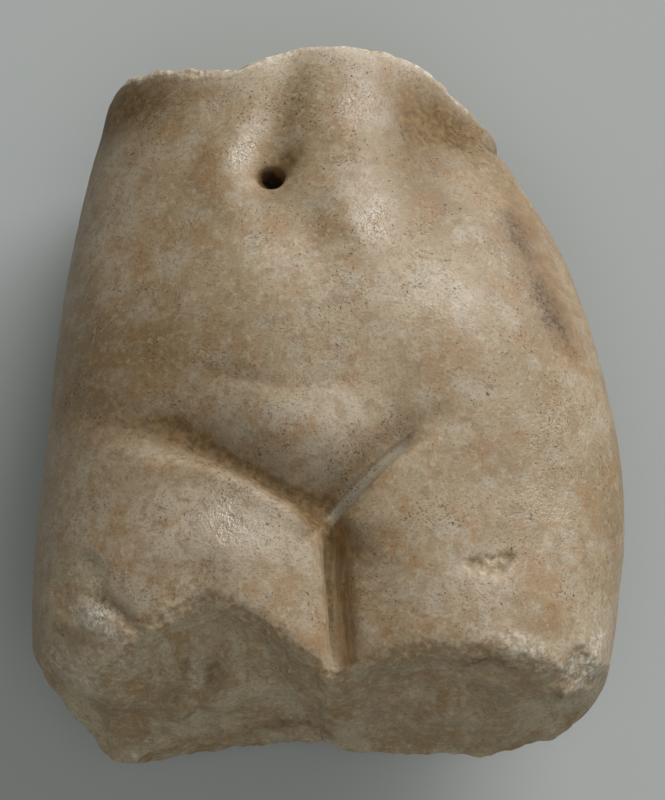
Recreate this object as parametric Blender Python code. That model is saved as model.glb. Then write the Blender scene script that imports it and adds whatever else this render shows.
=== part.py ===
"""Fragment of a carved marble female figure: the body from the waist to the upper thighs.

The stone is one solid. It is shaped in the figure's own axes: across (towards the figure's left), along
(up to the waist) and front. It is then laid on its back, where it rests on the two buttocks and on the
rear edge of the waist break. World axes: +X across, +Y towards the waist, +Z up.
"""

import math

import bmesh
import bpy
import numpy as np
from mathutils import Matrix

# Driving sizes, in metres
HIP_WIDTH = 0.098
BODY_HEIGHT = 0.112
BODY_DEPTH = 0.066
NAVEL_BORE_RADIUS = 0.0022
NAVEL_BORE_DEPTH = 0.0050
THIGH_GROOVE_DEPTH = 0.0042
GROIN_CHANNEL_WIDTH = 0.0018
GROIN_CHANNEL_DEPTH = 0.0009
REST_WEAR = 0.0006
REST_TILT = math.radians(10.2)

# Fineness of the solid
COLUMNS = 320
ROWS = 190
CAP_RINGS = 26
RIM_STEPS = 14
TRIANGLES = 9000

# The carving is measured in shares of the height: one unit is 1 mm on a body of this height
UNIT = BODY_HEIGHT / 112
HALF_WIDTH = HIP_WIDTH / 2
HALF_DEPTH = BODY_DEPTH / 2


def across(share):
    """A place across the body, from a share of half the hip width."""
    return share * HALF_WIDTH


def along(share):
    """A place along the body, from a share of its height."""
    return share * BODY_HEIGHT


def place(share_across, share_along):
    """A place on the front or back of the body."""
    return (across(share_across), along(share_along))


def smooth_step(low, high, value):
    """0 below low, 1 above high, and a smooth rise between them."""
    t = np.clip((value - low) / (high - low), 0.0, 1.0)
    return t * t * (3.0 - 2.0 * t)


def smooth_rows(table, where):
    """Rows of a table with even steps in its first column, read smoothly at the places in where."""
    first, step = table[0, 0], table[1, 0] - table[0, 0]
    position = np.clip((where - first) / step, 0.0, len(table) - 1.000001)
    index = position.astype(int)
    t = (position - index)[..., None]
    before, start, end, after = (table[np.clip(index + k, 0, len(table) - 1)] for k in (-1, 0, 1, 2))
    slope_in = (end - before) / 2.0
    slope_out = (after - start) / 2.0
    return (
        start * (2 * t**3 - 3 * t**2 + 1)
        + slope_in * (t**3 - 2 * t**2 + t)
        + end * (3 * t**2 - 2 * t**3)
        + slope_out * (t**3 - t**2)
    )


def smooth_line(*shares):
    """A smooth curve over the body through a few chosen places, as many short straight pieces."""
    table = np.array([(k, across(a), along(b)) for k, (a, b) in enumerate(shares)], float)
    return smooth_rows(table, np.linspace(0, len(shares) - 1, 8 * (len(shares) - 1) + 1))[:, 1:]


def lobe(u, v, centre, radius_across, radius_along, turn=0.0):
    """A soft round swelling of height 1 at centre, which falls off over its two radii."""
    du, dv = u - centre[0], v - centre[1]
    c, s = math.cos(turn), math.sin(turn)
    return np.exp(-(((du * c + dv * s) / radius_across) ** 2) - ((dv * c - du * s) / radius_along) ** 2)


def bell(distance, reach):
    """1 at no distance, falling off over the reach."""
    return np.exp(-((distance / reach) ** 2))


def beside_line(u, v, line):
    """Distance to a line, positive on its left as it runs, and how far along it the nearest point is."""
    best = np.full(u.shape, np.inf)
    side = np.zeros(u.shape)
    progress = np.zeros(u.shape)
    count = len(line) - 1
    for k in range(count):
        (u0, v0), (u1, v1) = line[k], line[k + 1]
        du, dv = u1 - u0, v1 - v0
        t = np.clip(((u - u0) * du + (v - v0) * dv) / (du * du + dv * dv), 0.0, 1.0)
        distance = np.hypot(u - u0 - t * du, v - v0 - t * dv)
        nearer = distance < best
        best = np.where(nearer, distance, best)
        side = np.where(nearer, np.sign(du * (v - v0) - dv * (u - u0)), side)
        progress = np.where(nearer, (k + t) / count, progress)
    return best * side, progress


# Stations up the body. Along is a share of the height, the right and left edge are shares of half the hip
# width, front and back are shares of half the depth, and the last is how square the front of the section is.
STATIONS = np.array([
    (-0.55, -0.965, 0.850, 0.800, 0.800, 2.70),
    (-0.44, -0.990, 0.912, 0.830, 0.790, 2.65),
    (-0.33, -1.002, 0.953, 0.848, 0.795, 2.60),
    (-0.22, -0.996, 0.982, 0.879, 0.840, 2.55),
    (-0.11, -0.976, 0.975, 0.935, 0.850, 2.45),
    (0.00, -0.957, 0.936, 0.965, 0.830, 2.40),
    (0.11, -0.938, 0.878, 0.935, 0.780, 2.35),
    (0.22, -0.905, 0.790, 0.864, 0.720, 2.35),
    (0.33, -0.860, 0.658, 0.800, 0.680, 2.30),
    (0.44, -0.803, 0.522, 0.755, 0.690, 2.30),
    (0.55, -0.775, 0.460, 0.725, 0.705, 2.30),
])
BACK_SQUARENESS = 2.3

# Carved lines on the front and back of the body
RIGHT_GROIN = smooth_line(
    (-0.84, -0.078), (-0.70, -0.117), (-0.58, -0.139), (-0.47, -0.158), (-0.36, -0.184), (-0.22, -0.218),
    (-0.10, -0.251), (-0.02, -0.280), (0.03, -0.305),
)
THIGH_GROOVE = smooth_line((-0.045, -0.24), (-0.042, -0.30), (-0.032, -0.37), (-0.018, -0.46), (-0.005, -0.56))
LEFT_GROIN = smooth_line(
    (-0.02, -0.268), (0.04, -0.240), (0.15, -0.193), (0.235, -0.162), (0.34, -0.135), (0.50, -0.118),
)
ALBA_LINE = smooth_line((-0.12, 0.50), (-0.15, 0.42), (-0.18, 0.34), (-0.205, 0.280))
BELLY_FOLD = smooth_line((-0.50, -0.045), (-0.30, -0.064), (-0.10, -0.080), (0.12, -0.055))
SPINE_LINE = smooth_line((-0.13, 0.55), (-0.10, 0.35), (-0.05, 0.18), (-0.01, 0.05))
CLEFT_LINE = smooth_line((-0.01, 0.09), (0.01, -0.05), (0.01, -0.20), (0.00, -0.56))
NAVEL = place(-0.207, 0.262)

# Rims of the two breaks, as across and along shares, read in straight pieces
WAIST_FRONT_RIM = np.array([
    (-0.90, 0.405), (-0.81, 0.450), (-0.775, 0.473), (-0.718, 0.491), (-0.667, 0.4875), (-0.578, 0.474),
    (-0.453, 0.457), (-0.316, 0.454), (-0.263, 0.465), (-0.196, 0.481), (-0.110, 0.490), (0.027, 0.489),
    (0.129, 0.488), (0.231, 0.487), (0.337, 0.472), (0.424, 0.440), (0.498, 0.417), (0.547, 0.405), (0.62, 0.375),
])
WAIST_BACK_RIM = np.array([
    (-0.90, 0.440), (-0.70, 0.462), (-0.45, 0.478), (-0.20, 0.462), (0.05, 0.452), (0.25, 0.468), (0.45, 0.455),
    (0.62, 0.420),
])
THIGH_FRONT_RIM = np.array([
    (-1.02, -0.405), (-0.90, -0.440), (-0.835, -0.451), (-0.712, -0.465), (-0.606, -0.436), (-0.529, -0.422),
    (-0.482, -0.390), (-0.429, -0.375), (-0.339, -0.393), (-0.284, -0.410), (-0.190, -0.437), (-0.110, -0.465),
    (-0.055, -0.482), (-0.015, -0.495), (0.043, -0.484), (0.137, -0.465), (0.271, -0.457), (0.408, -0.457),
    (0.543, -0.472), (0.698, -0.480), (0.739, -0.496), (0.849, -0.4625), (0.902, -0.437), (0.96, -0.425),
])
THIGH_BACK_RIM = np.array([
    (-1.02, -0.395), (-0.90, -0.460), (-0.735, -0.524), (-0.527, -0.502), (-0.320, -0.478), (-0.112, -0.474),
    (-0.043, -0.476), (0.008, -0.489), (0.235, -0.491), (0.414, -0.503), (0.580, -0.505), (0.714, -0.500),
    (0.827, -0.485), (0.896, -0.465), (0.96, -0.430),
])

# Shell-shaped scars inside the breaks: across and front as shares, radius in the plane and depth in mm
WAIST_SCARS = ((-0.45, 0.30, 14, 2.2), (0.10, 0.25, 15, 1.6), (-0.10, -0.35, 13, 1.8), (0.38, -0.10, 9, 1.5))
THIGH_SCARS = (
    (-0.42, 0.55, 14, 3.0), (-0.70, -0.10, 11, 1.5), (-0.20, -0.15, 10, 1.2), (0.35, 0.20, 13, 1.8),
    (0.72, 0.00, 9, 1.4), (0.30, -0.40, 12, 1.0), (0.53, 0.68, 6, 1.8),
)

# Where the break of the right thigh runs back steeply from its rim: its middle and reach across, and how much
STEEP_BREAK = (-0.43, 0.26, 1.15)

# Flat chips off the edges: a point on the chip (across, along, front shares), the way it faces, its reach in mm
CHIPS = (
    ((-0.955, -0.415, 0.30), (-0.80, -0.40, 0.42), 9),
    ((0.84, -0.462, 0.36), (0.62, -0.55, 0.56), 9),
    ((0.575, 0.400, 0.10), (0.70, 0.68, 0.20), 9),
    ((-0.79, 0.478, 0.28), (-0.60, 0.65, 0.46), 8),
)


def right_thigh_relief(u, v):
    """The right thigh stands proud of the belly and of the groove between the thighs."""
    distance, progress = beside_line(u, v, RIGHT_GROIN)
    strength = smooth_step(0.0, 0.45, progress) * (1.0 - smooth_step(0.80, 0.98, progress))
    above = np.maximum(distance - 0.3 * UNIT, 0.0)
    valley = 3.0 * bell(above, 9 * UNIT) + 1.3 * bell(above, 3.5 * UNIT)
    roll = (5.5 - 2.6 * smooth_step(0.20, 0.55, progress)) * UNIT
    rolled = np.clip(1.0 + (distance - 0.3 * UNIT) / roll, 0.0, 1.0) ** 3
    hollow = UNIT * strength * valley * rolled
    distance, _ = beside_line(u, v, THIGH_GROOVE)
    strength = 1.0 - smooth_step(along(-0.300), along(-0.262), v)
    past_wall = np.maximum(distance - 0.9 * UNIT, 0.0)
    slot = np.exp(-((past_wall / (3.5 * UNIT)) ** 3))
    cut = THIGH_GROOVE_DEPTH * smooth_step(0, 0.9 * UNIT, distance) * (0.62 * slot + 0.38 * bell(past_wall, 9 * UNIT))
    worn_edge = 0.7 * UNIT * np.exp(-np.abs(distance) / (1.4 * UNIT))
    return -hollow - strength * (cut + worn_edge)


def left_groin_relief(u, v):
    """The left groin: a soft fold with a flat channel cut along its inner part."""
    distance, progress = beside_line(u, v, LEFT_GROIN)
    strength = smooth_step(0.0, 0.15, progress) * (1.0 - smooth_step(0.45, 1.0, progress))
    fold = 1.7 * UNIT * bell(np.maximum(distance, 0.0), 6 * UNIT) * smooth_step(-2.2 * UNIT, 2.2 * UNIT, distance)
    below = np.maximum(-distance, 0.0)
    swelling = 0.6 * UNIT * bell(below - 3 * UNIT, 6 * UNIT) * smooth_step(0, 3 * UNIT, below)
    half = GROIN_CHANNEL_WIDTH / 2
    channel = 1.0 - smooth_step(half * 0.5, half * 1.6, np.abs(distance))
    ends = smooth_step(0.0, 0.08, progress) * (1.0 - smooth_step(0.55, 0.72, progress))
    return strength * (swelling - fold) - GROIN_CHANNEL_DEPTH * channel * ends


def belly_relief(u, v):
    """The soft forms of the belly, with the line above the navel and the fold under the belly."""
    line_distance, line_progress = beside_line(u, v, ALBA_LINE)
    fold_distance, fold_progress = beside_line(u, v, BELLY_FOLD)
    furrow = 1.4 * UNIT * bell(line_distance, 3.4 * UNIT) * (0.55 + 0.45 * line_progress)
    fold_ends = smooth_step(0, 0.25, fold_progress) * (1.0 - smooth_step(0.7, 1.0, fold_progress))
    fold = 0.35 * UNIT * bell(fold_distance, 1.6 * UNIT) * fold_ends
    hollow = 1.6 * UNIT * lobe(u, v, NAVEL, 5 * UNIT, 6 * UNIT)
    swellings = (
        1.2 * UNIT * lobe(u, v, place(-0.34, 0.28), 5 * UNIT, 10 * UNIT)
        + 1.3 * UNIT * lobe(u, v, place(0.06, 0.34), 8 * UNIT, 13 * UNIT)
        + 0.9 * UNIT * lobe(u, v, place(0.35, 0.06), 13 * UNIT, 9 * UNIT, 0.5)
        + 2.6 * UNIT * lobe(u, v, place(-0.10, -0.160), 12 * UNIT, 8 * UNIT)
        + 0.8 * UNIT * lobe(u, v, place(-0.20, 0.06), 15 * UNIT, 9 * UNIT)
        + 1.0 * UNIT * lobe(u, v, place(0.05, 0.185), 6 * UNIT, 8 * UNIT, 0.3)
    )
    hollows = (
        0.7 * UNIT * lobe(u, v, place(-0.07, 0.16), 5 * UNIT, 7 * UNIT, 0.4)
        + 1.0 * UNIT * lobe(u, v, place(0.31, 0.27), 6 * UNIT, 11 * UNIT)
        + 3.0 * UNIT * lobe(u, v, place(0.41, 0.370), 8 * UNIT, 6 * UNIT, -0.5)
        + 1.0 * UNIT * lobe(u, v, place(-0.64, 0.12), 9 * UNIT, 14 * UNIT)
    )
    return swellings - hollows - furrow - fold - hollow


def thigh_relief(u, v):
    """Each thigh has its own crest, and sinks a little towards the middle."""
    low = 1.0 - smooth_step(along(-0.40), along(-0.14), v)
    right = lobe(u, v, place(-0.44, -0.35), 15 * UNIT, 20 * UNIT, 0.3)
    edge = lobe(u, v, place(-0.36, -0.285), 13 * UNIT, 7 * UNIT, -0.5)
    left = lobe(u, v, place(0.50, -0.42), 16 * UNIT, 26 * UNIT)
    middle = lobe(u, v, place(0.08, -0.55), 10 * UNIT, 34 * UNIT)
    return low * (1.6 * UNIT * right + 1.7 * UNIT * edge + 1.3 * UNIT * left - 1.8 * UNIT * middle)


def back_relief(u, v):
    """Buttocks, the cleft between them, the folds under them and the hollow of the spine."""
    cleft_distance, cleft_progress = beside_line(u, v, CLEFT_LINE)
    spine_distance, _ = beside_line(u, v, SPINE_LINE)
    relief = -1.8 * UNIT * bell(spine_distance, 5.5 * UNIT)
    for side, high, swell in ((-1.0, -0.135, 7.35), (1.0, -0.105, 7.0)):
        relief += swell * UNIT * lobe(u, v, place(0.46 * side, high), 19 * UNIT, 23 * UNIT)
        fold = smooth_line((0.02 * side, high - 0.185), (0.30 * side, high - 0.215), (0.66 * side, high - 0.185))
        distance, progress = beside_line(u, v, fold)
        strength = smooth_step(0.0, 0.12, progress) * (1.0 - smooth_step(0.35, 1.0, progress))
        under = np.maximum(-distance * side, 0.0)
        over = np.maximum(distance * side, 0.0)
        relief -= 2.2 * UNIT * strength * (bell(under, 7 * UNIT) * (under > 0) + bell(over, 3 * UNIT) * (under <= 0))
        relief -= 0.8 * UNIT * lobe(u, v, place(0.20 * side, 0.125), 3.5 * UNIT, 3.5 * UNIT)
        relief -= 1.2 * UNIT * lobe(u, v, place(0.84 * side, high), 8 * UNIT, 11 * UNIT)
    depth = 5.5 * UNIT * (0.6 + 0.4 * smooth_step(0.0, 0.3, cleft_progress))
    cleft = np.exp(-((np.abs(cleft_distance) / (2.4 * UNIT)) ** 1.2)) * (1.0 - smooth_step(0.0, along(0.10), v))
    return relief - depth * cleft


def navel_bore(u, v):
    """Depth of the drilled hole of the navel, with a worn edge."""
    distance = np.hypot(u - NAVEL[0], v - NAVEL[1])
    return NAVEL_BORE_DEPTH * (1.0 - smooth_step(NAVEL_BORE_RADIUS * 0.6, NAVEL_BORE_RADIUS * 1.2, distance))


def section(angle, v):
    """Point (across, front) of the plain body at an angle about its axis and a place along it, and its depth."""
    row = smooth_rows(STATIONS, v / BODY_HEIGHT)
    right, left, front, back, square = (row[..., k] for k in range(1, 6))
    in_front = np.sin(angle) >= 0
    depth = np.where(in_front, front, back) * HALF_DEPTH
    power = np.where(in_front, square, BACK_SQUARENESS)
    width = across(left - right) / 2
    radius = (np.abs(np.cos(angle) / width) ** power + np.abs(np.sin(angle) / depth) ** power) ** (-1 / power)
    return across(left + right) / 2 + radius * np.cos(angle), radius * np.sin(angle), depth


def skin(angle, v):
    """Point (across, front) of the carved surface at an angle about the body's axis and a place along it."""
    u, w, depth = section(angle, v)
    front = right_thigh_relief(u, v) + left_groin_relief(u, v) + belly_relief(u, v) + thigh_relief(u, v)
    front_part = smooth_step(0.05, 0.55, w / depth)
    back_part = smooth_step(0.05, 0.55, -w / depth)
    return u, w + (front - navel_bore(u, v)) * front_part - back_relief(u, v) * back_part


def broken_end(u, w, front_rim, back_rim, scars, steep, way):
    """Where along the body the stone ends, at a place of the section. Scars sink into the stone."""
    share = u / HALF_WIDTH
    front = np.interp(share, front_rim[:, 0], front_rim[:, 1])
    back = np.interp(share, back_rim[:, 0], back_rim[:, 1])
    low = -0.9 + steep * bell(share - STEEP_BREAK[0], STEEP_BREAK[1])
    v = along(back + (front - back) * smooth_step(low, 0.95, w / HALF_DEPTH))
    sunk = np.zeros(u.shape)
    for share_across, share_front, radius, deep in scars:
        distance = np.hypot(u - across(share_across), w - share_front * HALF_DEPTH) / (radius * UNIT)
        sunk = np.maximum(sunk, deep * UNIT * np.maximum(1.0 - distance**2, 0.0))
    inside = 1.0 - np.maximum(np.abs(w) / HALF_DEPTH / 0.80, np.abs(share) / 0.92)
    return v - way * sunk * smooth_step(0.0, 0.15, inside)


def waist_end(u, w):
    """The break at the waist."""
    return broken_end(u, w, WAIST_FRONT_RIM, WAIST_BACK_RIM, WAIST_SCARS, 0.0, 1.0)


def thigh_end(u, w):
    """The break across the thighs."""
    return broken_end(u, w, THIGH_FRONT_RIM, THIGH_BACK_RIM, THIGH_SCARS, STEEP_BREAK[2], -1.0)


def column_angles(v):
    """Angles of the columns at a place along the body. The first column follows the edge of the thigh groove."""
    t = np.arange(COLUMNS) / COLUMNS
    spread = 2 * math.pi * t - 0.5 * np.sin(4 * math.pi * t) / 2
    edge = across(np.interp(v / BODY_HEIGHT, (-0.56, -0.46, -0.37, -0.29), (-0.005, -0.018, -0.032, -0.045)))
    row = smooth_rows(STATIONS, v / BODY_HEIGHT)
    middle = across(row[..., 1] + row[..., 2]) / 2
    return math.pi / 2 - (edge - middle) / (row[..., 3] * HALF_DEPTH) + spread


def rim(end, start):
    """Where along the body each column of the carved surface meets a break."""
    v = np.full(COLUMNS, start)
    for _ in range(RIM_STEPS):
        u, w = skin(column_angles(v), v)
        v = 0.5 * v + 0.5 * end(u, w)
    return v


def cap(edge, end):
    """Rings of a break from its middle, which is its first ring, out to its rim."""
    middle = edge.mean(axis=0)
    rings = []
    for share in np.linspace(0, 1, CAP_RINGS + 1)[:-1]:
        u = middle[0] + (edge[:, 0] - middle[0]) * share
        w = middle[2] + (edge[:, 2] - middle[2]) * share
        rings.append(np.stack([u, end(u, w), w], axis=1))
    return rings


def worn(grid, strength, passes):
    """Rounds the grid a little, each point by its own strength."""
    for _ in range(passes):
        beside = (np.roll(grid, 1, axis=1) + np.roll(grid, -1, axis=1)) / 2
        next_to = grid.copy()
        next_to[1:-1] = (grid[2:] + grid[:-2]) / 2
        grid = grid + strength[..., None] * ((beside + next_to) / 2 - grid)
    return grid


def rim_wear(edge):
    """How far the wear of the thigh break's rim reaches, at each point of the rim."""
    share = edge[:, 0] / HALF_WIDTH
    in_front = smooth_step(0.0, 0.4, edge[:, 2] / HALF_DEPTH)
    softer = 1.0 - 0.55 * smooth_step(-0.10, 0.05, share) + 0.2 * bell(share - 0.50, 0.18)
    return 0.9 + 2.6 * softer * in_front


def chipped(grid):
    """Takes the flat chips off the edges."""
    size = np.array((HALF_WIDTH, BODY_HEIGHT, HALF_DEPTH))
    for point, facing, reach in CHIPS:
        centre = np.array(point) * size
        normal = np.array(facing) / np.linalg.norm(facing)
        offset = grid - centre
        proud = np.maximum(offset @ normal, 0.0)
        near = 1.0 - smooth_step(0.8, 1.1, np.linalg.norm(offset, axis=-1) / (reach * UNIT))
        grid = grid - (proud * near)[..., None] * normal
    return grid


def fragment_grid():
    """Rings of points from the middle of the thigh break, up the carved surface, to the middle of the waist break."""
    low = rim(thigh_end, along(-0.45))
    high = rim(waist_end, along(0.45))
    rings = []
    for t in np.linspace(0, 1, ROWS + 1):
        v = low + (high - low) * t
        u, w = skin(column_angles(v), v)
        rings.append(np.stack([u, v, w], axis=1))
    below = cap(rings[0], thigh_end)
    above = cap(rings[-1], waist_end)
    grid = chipped(np.array(below + rings + above[::-1]))
    ring = np.arange(len(grid))
    step = along(0.95) / ROWS
    from_low, from_high = (ring - CAP_RINGS)[:, None] * step, (ring - CAP_RINGS - ROWS)[:, None] * step
    strength = 0.7 * bell(from_low, rim_wear(grid[CAP_RINGS]) * UNIT) + 0.9 * bell(from_high, 1.2 * UNIT)
    strength[0] = strength[-1] = 0.0
    near = slice(CAP_RINGS - 12, CAP_RINGS + 22)
    grid[near] = worn(grid[near], strength[near], 45)
    grid[-CAP_RINGS - 8:] = worn(grid[-CAP_RINGS - 8:], strength[-CAP_RINGS - 8:], 6)
    return grid


def closed_mesh(grid):
    """One closed mesh from rings of points. The first and the last ring are single points."""
    points = np.vstack([grid[0, :1], grid[1:-1].reshape(-1, 3), grid[-1, :1]])
    last = len(points) - 1
    rings = len(grid) - 2
    faces = []
    for k in range(COLUMNS):
        after = (k + 1) % COLUMNS
        top = (rings - 1) * COLUMNS
        faces.append((0, 1 + after, 1 + k))
        faces.append((last, 1 + top + k, 1 + top + after))
        for r in range(rings - 1):
            low, high = 1 + r * COLUMNS, 1 + (r + 1) * COLUMNS
            faces.append((low + k, low + after, high + after, high + k))
    mesh = bpy.data.meshes.new("fine_form")
    mesh.from_pydata(points.tolist(), [], faces)
    return mesh


def fewer_triangles(mesh):
    """The same form with fewer triangles: small ones stay at the carving, large ones on the plain forms."""
    fine = bpy.data.objects.new("fine_form", mesh)
    bpy.context.scene.collection.objects.link(fine)
    modifier = fine.modifiers.new("fewer", "DECIMATE")
    modifier.ratio = TRIANGLES / (2 * len(mesh.polygons))
    modifier.use_collapse_triangulate = True
    reduced = fine.evaluated_get(bpy.context.evaluated_depsgraph_get()).to_mesh()
    result = bmesh.new()
    result.from_mesh(reduced)
    bpy.data.objects.remove(fine)
    return result


def lay_down(mesh):
    """Turns the figure onto its back, wears its resting spots flat and centres it over the origin."""
    mesh.transform(Matrix.Rotation(-REST_TILT, 4, "X"))
    floor = min(p.co.z for p in mesh.verts) + REST_WEAR
    cut = bmesh.ops.bisect_plane(
        mesh,
        geom=mesh.verts[:] + mesh.edges[:] + mesh.faces[:],
        dist=1e-7,
        plane_co=(0, 0, floor),
        plane_no=(0, 0, -1),
        clear_outer=True,
    )
    edges = [e for e in cut["geom_cut"] if isinstance(e, bmesh.types.BMEdge)]
    bmesh.ops.holes_fill(mesh, edges=edges)
    middle = [(max(p.co[k] for p in mesh.verts) + min(p.co[k] for p in mesh.verts)) / 2 for k in (0, 1)]
    mesh.transform(Matrix.Translation((-middle[0], -middle[1], -floor)))
    bmesh.ops.recalc_face_normals(mesh, faces=mesh.faces)


def marble():
    """Polished marble with a warm brown patina."""
    material = bpy.data.materials.new("patinated_marble")
    material.use_nodes = True
    shader = material.node_tree.nodes["Principled BSDF"]
    shader.inputs["Base Color"].default_value = (0.42, 0.34, 0.25, 1.0)
    shader.inputs["Roughness"].default_value = 0.42
    shader.inputs["Metallic"].default_value = 0.0
    return material


def main():
    for old in list(bpy.data.objects):
        bpy.data.objects.remove(old)
    solid = fewer_triangles(closed_mesh(fragment_grid()))
    lay_down(solid)
    mesh = bpy.data.meshes.new("figure_fragment")
    solid.to_mesh(mesh)
    solid.free()
    mesh.shade_smooth()
    mesh.set_sharp_from_angle(angle=math.radians(40))
    mesh.materials.append(marble())
    bpy.context.scene.collection.objects.link(bpy.data.objects.new("figure_fragment", mesh))


main()
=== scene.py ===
"""Looks of the marble figure fragment: the fine stone, its material, the floor, light and camera."""

import math

import bpy
import numpy as np
from mathutils import Matrix, Vector


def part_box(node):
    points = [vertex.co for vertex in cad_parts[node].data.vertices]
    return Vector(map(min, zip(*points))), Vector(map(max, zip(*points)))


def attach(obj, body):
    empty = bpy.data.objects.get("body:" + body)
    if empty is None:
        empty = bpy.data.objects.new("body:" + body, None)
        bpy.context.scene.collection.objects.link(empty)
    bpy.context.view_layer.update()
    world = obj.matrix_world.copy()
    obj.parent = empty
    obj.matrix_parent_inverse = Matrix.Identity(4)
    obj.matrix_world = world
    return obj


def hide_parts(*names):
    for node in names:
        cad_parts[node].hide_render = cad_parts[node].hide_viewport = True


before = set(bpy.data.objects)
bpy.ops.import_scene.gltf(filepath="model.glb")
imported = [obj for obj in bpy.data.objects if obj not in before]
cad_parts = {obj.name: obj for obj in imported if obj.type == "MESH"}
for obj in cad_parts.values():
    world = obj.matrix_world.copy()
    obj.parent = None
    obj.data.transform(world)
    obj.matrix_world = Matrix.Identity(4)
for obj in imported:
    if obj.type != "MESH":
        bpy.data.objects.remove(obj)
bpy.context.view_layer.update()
NODE_LOW, NODE_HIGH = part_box("figure_fragment")

# Sizes and lines of the solid, repeated from its source
HIP_WIDTH = 0.098
BODY_HEIGHT = 0.112
BODY_DEPTH = 0.066
NAVEL_BORE_RADIUS = 0.0022
NAVEL_BORE_DEPTH = 0.0050
THIGH_GROOVE_DEPTH = 0.0042
GROIN_CHANNEL_WIDTH = 0.0018
GROIN_CHANNEL_DEPTH = 0.0009
REST_TILT = math.radians(10.2)

# Fineness of the stone's grid
COLUMNS = 600
ROWS = 320
CAP_RINGS = 80
RIM_STEPS = 14
TRIANGLES = 192000

# Rings of the grid where the carved skin meets the breaks, and how far apart rings lie between them
THIGH_RIM = CAP_RINGS
WAIST_RIM = CAP_RINGS + ROWS
SKIN_SPAN = 0.95

# How often each part of the grid is smoothed, and how many rings on each side of a rim
THIGH_RIM_PASSES = 190
WAIST_RIM_PASSES = 30
GROIN_PASSES = 60
HOLLOW_PASSES = 44
THIGH_WORN_RINGS = 60
WAIST_WORN_RINGS = 30

# One unit of carving is a share of the height, and is 1 mm here
UNIT = BODY_HEIGHT / 112
HALF_WIDTH = HIP_WIDTH / 2
HALF_DEPTH = BODY_DEPTH / 2


def across(share):
    """A place across the body, from a share of half the hip width."""
    return share * HALF_WIDTH


def along(share):
    """A place along the body, from a share of its height."""
    return share * BODY_HEIGHT


def place(share_across, share_along):
    """A place on the front or back of the body."""
    return (across(share_across), along(share_along))


def smooth_step(low, high, value):
    """0 below low, 1 above high, and a smooth rise between them."""
    t = np.clip((value - low) / (high - low), 0.0, 1.0)
    return t * t * (3.0 - 2.0 * t)


def smooth_rows(table, where):
    """Rows of a table with even steps in its first column, read smoothly at the places in where."""
    first, step = table[0, 0], table[1, 0] - table[0, 0]
    position = np.clip((where - first) / step, 0.0, len(table) - 1.000001)
    index = position.astype(int)
    t = (position - index)[..., None]
    before, start, end, after = (table[np.clip(index + k, 0, len(table) - 1)] for k in (-1, 0, 1, 2))
    slope_in = (end - before) / 2.0
    slope_out = (after - start) / 2.0
    return (
        start * (2 * t**3 - 3 * t**2 + 1)
        + slope_in * (t**3 - 2 * t**2 + t)
        + end * (3 * t**2 - 2 * t**3)
        + slope_out * (t**3 - t**2)
    )


def smooth_line(*shares):
    """A smooth curve over the body through a few chosen places, as many short straight pieces."""
    table = np.array([(k, across(a), along(b)) for k, (a, b) in enumerate(shares)], float)
    return smooth_rows(table, np.linspace(0, len(shares) - 1, 8 * (len(shares) - 1) + 1))[:, 1:]


def lobe(u, v, centre, radius_across, radius_along, turn=0.0):
    """A soft round swelling of height 1 at centre, which falls off over its two radii."""
    du, dv = u - centre[0], v - centre[1]
    c, s = math.cos(turn), math.sin(turn)
    return np.exp(-(((du * c + dv * s) / radius_across) ** 2) - ((dv * c - du * s) / radius_along) ** 2)


def lobes(u, v, table):
    """Soft forms or patches from a table: how strong, where, reaches in mm, and a turn."""
    return sum(
        strong * lobe(u, v, place(at, up), wide * UNIT, tall * UNIT, turn)
        for strong, at, up, wide, tall, turn in table
    )


def bell(distance, reach):
    """1 at no distance, falling off over the reach."""
    return np.exp(-((distance / reach) ** 2))


def beside_line(u, v, line):
    """Distance to a line, positive on its left as it runs, and how far along it the nearest point is."""
    best = np.full(u.shape, np.inf)
    side = np.zeros(u.shape)
    progress = np.zeros(u.shape)
    count = len(line) - 1
    for k in range(count):
        (u0, v0), (u1, v1) = line[k], line[k + 1]
        du, dv = u1 - u0, v1 - v0
        t = np.clip(((u - u0) * du + (v - v0) * dv) / (du * du + dv * dv), 0.0, 1.0)
        distance = np.hypot(u - u0 - t * du, v - v0 - t * dv)
        nearer = distance < best
        best = np.where(nearer, distance, best)
        side = np.where(nearer, np.sign(du * (v - v0) - dv * (u - u0)), side)
        progress = np.where(nearer, (k + t) / count, progress)
    return best * side, progress


# The noise's lattice is turned and moved away from the body's own axes
NOISE_TURN = np.array(((0.36, 0.48, -0.8), (-0.8, 0.6, 0.0), (0.48, 0.64, 0.6))).T
NOISE_SHIFT = 100.0


def lattice(ix, iy, iz, seed):
    """A fixed value from 0 to 1 for each whole-number place."""
    h = ix * 374761393 + iy * 668265263 + iz * 1442695041 + seed * 1274126177
    h = (h ^ (h >> 13)) & 0xFFFFFFFF
    h = (h * 1274126177) & 0xFFFFFFFF
    return ((h ^ (h >> 16)) & 0xFFFFFF) / float(0x1000000)


def noise(points, size, seed):
    """Smooth noise from -1 to 1 with features of a given size."""
    turned = points @ NOISE_TURN / size + NOISE_SHIFT
    whole = np.floor(turned).astype(np.int64)
    t = turned - whole
    t = t * t * t * (t * (t * 6 - 15) + 10)
    total = np.zeros(points.shape[:-1])
    for dx in (0, 1):
        for dy in (0, 1):
            for dz in (0, 1):
                weight = (t[..., 0] if dx else 1 - t[..., 0]) * (t[..., 1] if dy else 1 - t[..., 1])
                weight = weight * (t[..., 2] if dz else 1 - t[..., 2])
                total += weight * lattice(whole[..., 0] + dx, whole[..., 1] + dy, whole[..., 2] + dz, seed)
    return 2 * total - 1


def rough(points, size, seed, octaves=4, fall=0.5):
    """Noise of several sizes, each half the one before."""
    total, weight = 0.0, 1.0
    for k in range(octaves):
        total = total + weight * noise(points, size / 2**k, seed + k)
        weight *= fall
    return total


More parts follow.
